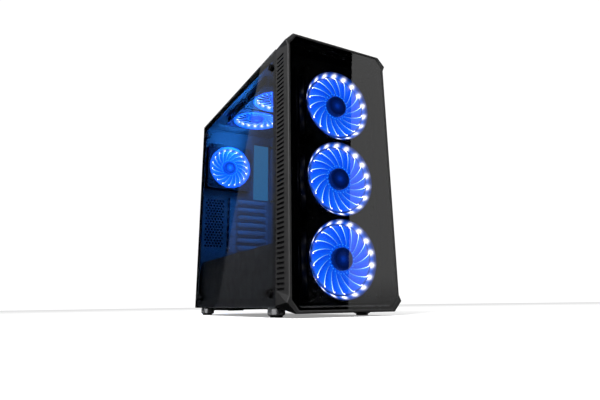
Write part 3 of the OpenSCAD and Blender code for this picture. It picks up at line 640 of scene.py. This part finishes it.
def bead(radius, size, height, color, angle=0.0):
    """A small glowing dome at `radius` from the axis."""
    rings, steps = 4, 10
    points, faces = [], []
    x, y = radius * math.cos(angle), radius * math.sin(angle)
    for i in range(rings):
        a = math.pi / 2 * i / rings
        for k in range(steps):
            b = 2 * math.pi * k / steps
            points.append((x + size * math.cos(a) * math.cos(b),
                           y + size * math.cos(a) * math.sin(b), height + size * math.sin(a)))
    points.append((x, y, height + size))
    for i in range(rings - 1):
        for k in range(steps):
            n = (k + 1) % steps
            faces.append((i * steps + k, i * steps + n, (i + 1) * steps + n, (i + 1) * steps + k))
    top = rings * steps
    faces += [((rings - 1) * steps + k, (rings - 1) * steps + (k + 1) % steps, top)
              for k in range(steps)]
    faces.append(tuple(range(steps - 1, -1, -1)))
    return points, faces, [color] * len(points)


# %% [markdown]
# The hub is a cup turned upside down over the motor. Its cap is navy, with a shallow dish. Light is
# painted on it: a faint blue glow all over, stronger in the middle where the lamps' light comes
# through the plastic, a thin brighter ring near the rim, and blue down the cup's outer side, where
# the lamps' light falls, stronger towards its foot.

# %% Hub cap
def hub_cap(hub, strength):
    """A turned cup with a rounded rim and a dished face, and its light."""
    rim, face, dish, foot, wall = 1.4, FACE - 1.6, 0.55, 6.0, 1.5
    profile = [(0.01, face - dish), (hub * 0.3, face - dish), (hub * 0.36, face - dish + 0.12)]
    profile += [(hub * 0.72, face - 0.12), (hub * 0.78, face)]
    profile += [(hub - rim + rim * math.sin(a), face - rim + rim * math.cos(a))
                for a in (math.radians(d) for d in range(0, 91, 15))]
    profile += [(hub, foot), (hub - wall, foot), (hub - wall, face - 2.2), (0.01, face - 2.2)]
    points, faces = lathe(profile, 64, closed=False)
    colors = []
    for x, y, z in points:
        t = math.hypot(x, y) / hub
        glow = 0.3 * math.exp(-(t / 0.3) ** 2) + 0.05 * math.exp(-((t - 0.95) / 0.06) ** 2) + 0.045
        # painted light: blue on the cup's outer side, stronger towards its foot
        side = 0.25 * max(0.0, 1 - z / 20) if t > 0.97 else 0.0
        colors.append(times(BLUE, glow * strength + side))
    return points, faces, colors


# %% [markdown]
# Now the rotor is put together: hub, blades, streaks, beads at the tips, and a circle of small lit
# dots round the hub where the blades' roots catch the light. Each stays a piece of its own that turns
# with its rotor, so that a fan's glow can be repainted without touching its shape.

# %% Build the rotors
TIP_GAP = 1.2
HUB_DOTS = 26


def rotor(name, fan):
    place = fan_place(name + "_rotor", fan["down"])
    body, hub, tip = name + "_rotor", fan["hub"], fan["bore"] - TIP_GAP
    start = FIRST_LAMP - blade_angle(1)
    hand = (lambda part: part) if fan["big"] else mirrored
    points, faces, colors = hub_cap(hub, fan["hub_glow"])
    cap = from_points(name + "_hub", points, faces, fan["plastics"]["hub"], place)
    paint(cap, colors)
    belongs(cap, body, "lit_blades", name + "_rotor")
    points, faces, colors = hand(all_round(blade(hub - 0.5, tip), BLADES, start))
    vanes = from_points(name + "_blades", points, faces, fan["plastics"]["blade"], place, 60)
    paint(vanes, colors)
    belongs(vanes, body, "lit_blades")
    ridges = hand(all_round(streak(hub, tip, fan["streak"]), BLADES, start))
    tips = hand(all_round(bead(tip - DARK_TIP, 1.1, TIP_DEPTH, times(WHITE, 2.4), blade_angle(1)),
                          BLADES, start))
    dots = all_round(bead(hub * 1.26, 0.75, ROOT_DEPTH + 2.6, times(AZURE, 1.1)), HUB_DOTS)
    points, faces = joined(ridges[:2], tips[:2], dots[:2])
    lights = from_points(name + "_streaks", points, faces, fan["plastics"]["streak"], place, 80)
    paint(lights, ridges[2] + tips[2] + dots[2])
    belongs(lights, body, "lit_blades")


for name, fan in FANS.items():
    rotor(name, fan)
print("built", len(FANS), "rotors of", BLADES, "blades")

# %% [markdown]
# Round each rotor sits a ring of clear plastic that carries the lamps. It opens from the bore to the
# lit face like a funnel, so on the side of the fan that turns towards the eye it is wide and bright,
# with a pool of white round each lamp, and on the other side it is narrow and dim. The big fans have
# the ring as a part of its own; on the small fans it is moulded into the frame, so there only its
# skin is drawn.

# %% Light rings
LAMP_POOL = 4.0
LAMP_HEIGHT = 17.0
STEPS_PER_LAMP = 8
CONE_FOOT, SKIN_FOOT = 15.0, 8.0
LIP, SKIN, HAIR = 0.8, 0.3, 0.05
DARK_FROM, DARK_OVER = 1.6, 3.0


def ring_color(fan, lamps, point):
    """Painted light at a point of the ring: pools round the lamps on a wall that brightens towards the
    lit face, dimmed nearly dark past DARK_FROM beyond the bore, and near black behind the cone.
    """
    x, y, z = point
    r, angle = math.hypot(x, y), math.atan2(y, x)
    bore, slope = fan["bore"], (fan["ring"] - LIP - fan["bore"]) / (FACE - CONE_FOOT)
    pitch = 2 * math.pi / BLADES
    off = (angle - lamps + pitch / 2) % pitch - pitch / 2
    away = math.hypot(off * r, z - LAMP_HEIGHT)
    pool = fan["pool"] * math.exp(-(away / LAMP_POOL) ** 2)
    if r > bore + 0.6 + slope * max(z - CONE_FOOT, 0.0):
        return times(DEEP, 0.05)
    # painted shade: the cone's outer band, past DARK_FROM from the bore, is dimmed to a tenth
    fade = 1 - 0.9 * min(max((r - bore - DARK_FROM) / DARK_OVER, 0.0), 1.0)
    wall = times(blended(BLUE, AZURE, 0.25), fade * (0.25 + 0.55 * z / FACE))
    return tuple(a + b for a, b in zip(times(wall, 1 - min(pool, 1.0)), times(WHITE, 2.2 * pool)))


def light_ring(name, fan):
    place = fan_place(name + "_rotor", fan["down"])
    bore, ring = fan["bore"], fan["ring"]
    inner, outer = bore - SKIN, ring - HAIR
    if fan["big"]:
        cone = [(bore + (ring - LIP - bore) * t, CONE_FOOT + (FACE - HAIR - CONE_FOOT) * t)
                for t in (0.08, 0.25, 0.5, 0.75, 1)]
        back = [(outer, FACE - HAIR), (outer, CONE_FOOT + HAIR), (bore + HAIR, CONE_FOOT + HAIR),
                (bore - 0.02, CONE_FOOT - 0.5)]
    else:
        cone = [(inner, z) for z in (16.0, 18.0, 20.0, 22.0, 24.5)]
        cone += [(bore + 0.2, FACE + 0.35), (ring - 0.3, FACE + 0.35)]
        back = [(ring - 0.1, FACE + 0.02), (bore - 0.02, FACE - 0.5)]
    profile = [(inner, z) for z in (SKIN_FOOT, 11.0, 13.5)] + cone + back
    profile.append((bore - 0.02, SKIN_FOOT))
    points, faces = lathe(profile, BLADES * STEPS_PER_LAMP)
    lamps = FIRST_LAMP if fan["big"] else -FIRST_LAMP
    piece = from_points(name + "_light_ring", points, faces, fan["plastics"]["ring"], place)
    paint(piece, [ring_color(fan, lamps, point) for point in points])
    belongs(piece, "chassis", "light_ring", *([name + "_ring"] if fan["big"] else []))


for name, fan in FANS.items():
    light_ring(name, fan)

# %% [markdown]
# The glowing plastic above is only for the eye. The light that fans throw round the inside of the
# case comes from soft disc lamps just off each fan's face, which give clean shading in few samples.

# %% Lamps inside the case
def lamp(name, where, aim, size, power, color, shape="DISK", glossy=False):
    """An area lamp at `where` that shines along `aim`."""
    light = bpy.data.lights.new(name, "AREA")
    light.shape = shape
    light.size = size
    light.energy = power
    light.color = color
    piece = bpy.data.objects.new(name, light)
    facing = Vector(aim).to_track_quat("-Z", "Y").to_matrix().to_4x4()
    piece.matrix_world = Matrix.Translation(where) @ facing
    piece.visible_camera = False
    piece.visible_glossy = glossy
    piece.visible_transmission = False
    bpy.context.scene.collection.objects.link(piece)
    return piece


LAMP_BLUE = (0.03, 0.28, 1.0)
INNER_LAMP = 4.0
INTAKE_LAMP = 2.2
for name, fan in FANS.items():
    low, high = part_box(name + "_frame")
    middle = (low + high) / 2
    if fan["down"]:
        lamp(name + "_lamp", Vector((middle.x, middle.y, low.z - 2 * MM)), (0, 0, -1), 0.1,
             INNER_LAMP, LAMP_BLUE)
    elif fan["big"]:
        lamp(name + "_lamp", Vector((middle.x, high.y + 3 * MM, middle.z)), (0, 1, 0), 0.11,
             INTAKE_LAMP, LAMP_BLUE)
    else:
        lamp(name + "_lamp", Vector((middle.x, low.y - 2 * MM, middle.z)), (0, -1, 0), 0.1,
             INNER_LAMP, LAMP_BLUE)

# %% [markdown]
# Two more lamps stand for the light that the roof fans throw sideways: it washes the underside of the
# roof on the window's side, and the corner where the roof meets the rear wall.

# %% Wash the roof and the rear corner
rear_low, rear_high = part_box("rear_fan_frame")
roof_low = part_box("roof_fan_rear_frame")[0]
roof_side = roof_low + Vector((-12, -10, -45)) * MM
corner = Vector(((rear_low.x + rear_high.x) / 2, rear_low.y - 18 * MM, rear_high.z + 20 * MM))
lamp("roof_wash", roof_side, (-0.35, 0.1, 1), 0.12, 7, LAMP_BLUE)
lamp("corner_wash", corner, (0, 1, 0.2), 0.08, 1.6, LAMP_BLUE)

# %% [markdown]
# The studio is a lit white table in front of a white wall. Glass and black plastic show only what
# they reflect, so a photographer surrounds them with black cloth and then brings in single white
# cards. The sky here does the same: it is white to the camera and soft grey for shading, but dark
# to reflections except high overhead, so that only the top edges pick it up.

# %% White wall, soft sky and dark reflections
world = bpy.data.worlds.new("studio")
bpy.context.scene.world = world
world.use_nodes = True
nodes, link = world.node_tree.nodes, world.node_tree.links.new
nodes.clear()
output = nodes.new("ShaderNodeOutputWorld")
wall = nodes.new("ShaderNodeBackground")
wall.inputs["Color"].default_value = (1, 1, 1, 1)
wall.inputs["Strength"].default_value = 1.05
fill = nodes.new("ShaderNodeBackground")
fill.inputs["Color"].default_value = (1, 1, 1, 1)
dark = nodes.new("ShaderNodeBackground")
direction = nodes.new("ShaderNodeTexCoord")
split = nodes.new("ShaderNodeSeparateXYZ")
height = nodes.new("ShaderNodeMapRange")
height.interpolation_type = "SMOOTHSTEP"
height.inputs["From Min"].default_value = math.sin(math.radians(36))
height.inputs["From Max"].default_value = math.sin(math.radians(75))
height.inputs["To Max"].default_value = 0.3
above = nodes.new("ShaderNodeMapRange")
above.inputs["From Min"].default_value = -0.15
above.inputs["From Max"].default_value = 0.4
above.inputs["To Max"].default_value = 0.6
paths = nodes.new("ShaderNodeLightPath")
shade = nodes.new("ShaderNodeMixShader")
see = nodes.new("ShaderNodeMixShader")
link(direction.outputs["Generated"], split.inputs["Vector"])
link(split.outputs["Z"], height.inputs["Value"])
link(height.outputs["Result"], dark.inputs["Strength"])
link(split.outputs["Z"], above.inputs["Value"])
link(above.outputs["Result"], fill.inputs["Strength"])
link(paths.outputs["Is Diffuse Ray"], shade.inputs["Fac"])
link(dark.outputs["Background"], shade.inputs[1])
link(fill.outputs["Background"], shade.inputs[2])
link(paths.outputs["Is Camera Ray"], see.inputs["Fac"])
link(shade.outputs["Shader"], see.inputs[1])
link(wall.outputs["Background"], see.inputs[2])
link(see.outputs["Shader"], output.inputs["Surface"])

# %% [markdown]
# The table is opal acrylic lit from below, as in catalogue work. It lifts the floor to white, so that
# all that is left of the case's shadow is the dark line where it nearly touches the table.

# %% Lit white table
table_white, shader = principled("opal_table", (0.88, 0.88, 0.88), 0.6)
shader.inputs["Specular IOR Level"].default_value = 0.0
shader.inputs["Emission Color"].default_value = (1, 1, 1, 1)
shader.inputs["Emission Strength"].default_value = 0.3
table_white.cycles.emission_sampling = "NONE"
REACH = 6000
corners = [(-REACH, -REACH, 0), (REACH, -REACH, 0), (REACH, REACH, 0), (-REACH, REACH, 0)]
table = from_points("table", corners, [(0, 1, 2, 3)], table_white)
table.visible_glossy = False
table.visible_diffuse = False

# %% [markdown]
# White cards stand where the windows look. One fills the right part of what the front glass
# mirrors, and its edge draws the upright line down the glass. The other does the same beside the side
# glass, where its leaning edge crosses the window, and it dims towards the floor. A third, far off to
# the left, is what the rounded edges of the bezel and the bright feet pick up.

# %% Cards for the glass to mirror
def card(name, corners, low_light, high_light, reach):
    """A glowing card seen only in reflections, which brightens from its foot up to `reach`."""
    material = bpy.data.materials.new(name)
    material.use_nodes = True
    nodes, link = material.node_tree.nodes, material.node_tree.links.new
    nodes.clear()
    glow = nodes.new("ShaderNodeEmission")
    place = nodes.new("ShaderNodeTexCoord")
    split = nodes.new("ShaderNodeSeparateXYZ")
    fade = nodes.new("ShaderNodeMapRange")
    fade.inputs["From Max"].default_value = reach * MM
    fade.inputs["To Min"].default_value = low_light
    fade.inputs["To Max"].default_value = high_light
    output = nodes.new("ShaderNodeOutputMaterial")
    link(place.outputs["Object"], split.inputs["Vector"])
    link(split.outputs["Z"], fade.inputs["Value"])
    link(fade.outputs["Result"], glow.inputs["Strength"])
    link(glow.outputs["Emission"], output.inputs["Surface"])
    material.cycles.emission_sampling = "NONE"
    piece = from_points(name, corners, [tuple(range(len(corners)))], material)
    for setting in ("visible_camera", "visible_diffuse", "visible_shadow", "visible_transmission"):
        setattr(piece, setting, False)
    return piece


def across(y, z_low, z_high, low_left, high_left, right):
    """Corners of a card that faces the front glass, with its left edge leaning."""
    return [(low_left, y, z_low), (right, y, z_low), (right, y, z_high), (high_left, y, z_high)]


def beside(x, z_low, z_high, near, low_far, high_far):
    """Corners of a card that faces the side glass, with its far edge leaning."""
    return [(x, near, z_low), (x, low_far, z_low), (x, high_far, z_high), (x, near, z_high)]


card("front_card", across(-1200, -20, 1300, 641, 735, 1100), 0.26, 0.56, 130)
card("side_card", beside(-600, -20, 1206, 640, 1557, 990), 0.035, 0.27, 1100)
card("rim_card", beside(-1500, -20, 1600, -3200, -200, -200), 0.8, 2.2, 1600)

# %% [markdown]
# The opening for the motherboard's ports would show black, because the wall behind the set is black to
# the glass. A pale blue card just behind it shows as daylight would, and nothing else sees it.

# %% Card behind the port opening
behind = card("opening_card", across(330, 285, 500, 30, 30, 150), 0.5, 0.5, 1)
glow = behind.data.materials[0].node_tree.nodes["Emission"]
glow.inputs["Color"].default_value = (0.05, 0.42, 1.0, 1)
behind.visible_transmission = True
behind.visible_glossy = False

# %% [markdown]
# Last come the studio's own lamps: a large soft box high on the left that rakes down the bezel's
# side, and a weaker one on the right so that the far side is not lost.

# %% Soft boxes
SOFT_BOXES = {  # place, aim, size, power, seen in reflections
    "soft_box_left": ((-0.75, -0.62, 1.25), (0.6, 0.35, -0.85), 0.6, 22, True),
    "soft_box_right": ((1.8, -1.2, 1.5), (-1.7, 1.0, -1.2), 1.2, 14, False),
    "soft_box_top": ((0.2, 0.3, 2.4), (-0.1, -0.15, -1), 1.6, 9, False),
}
for name, (place, aim, size, power, glossy) in SOFT_BOXES.items():
    lamp(name, Vector(place), aim, size, power, (1, 1, 1), "SQUARE", glossy)
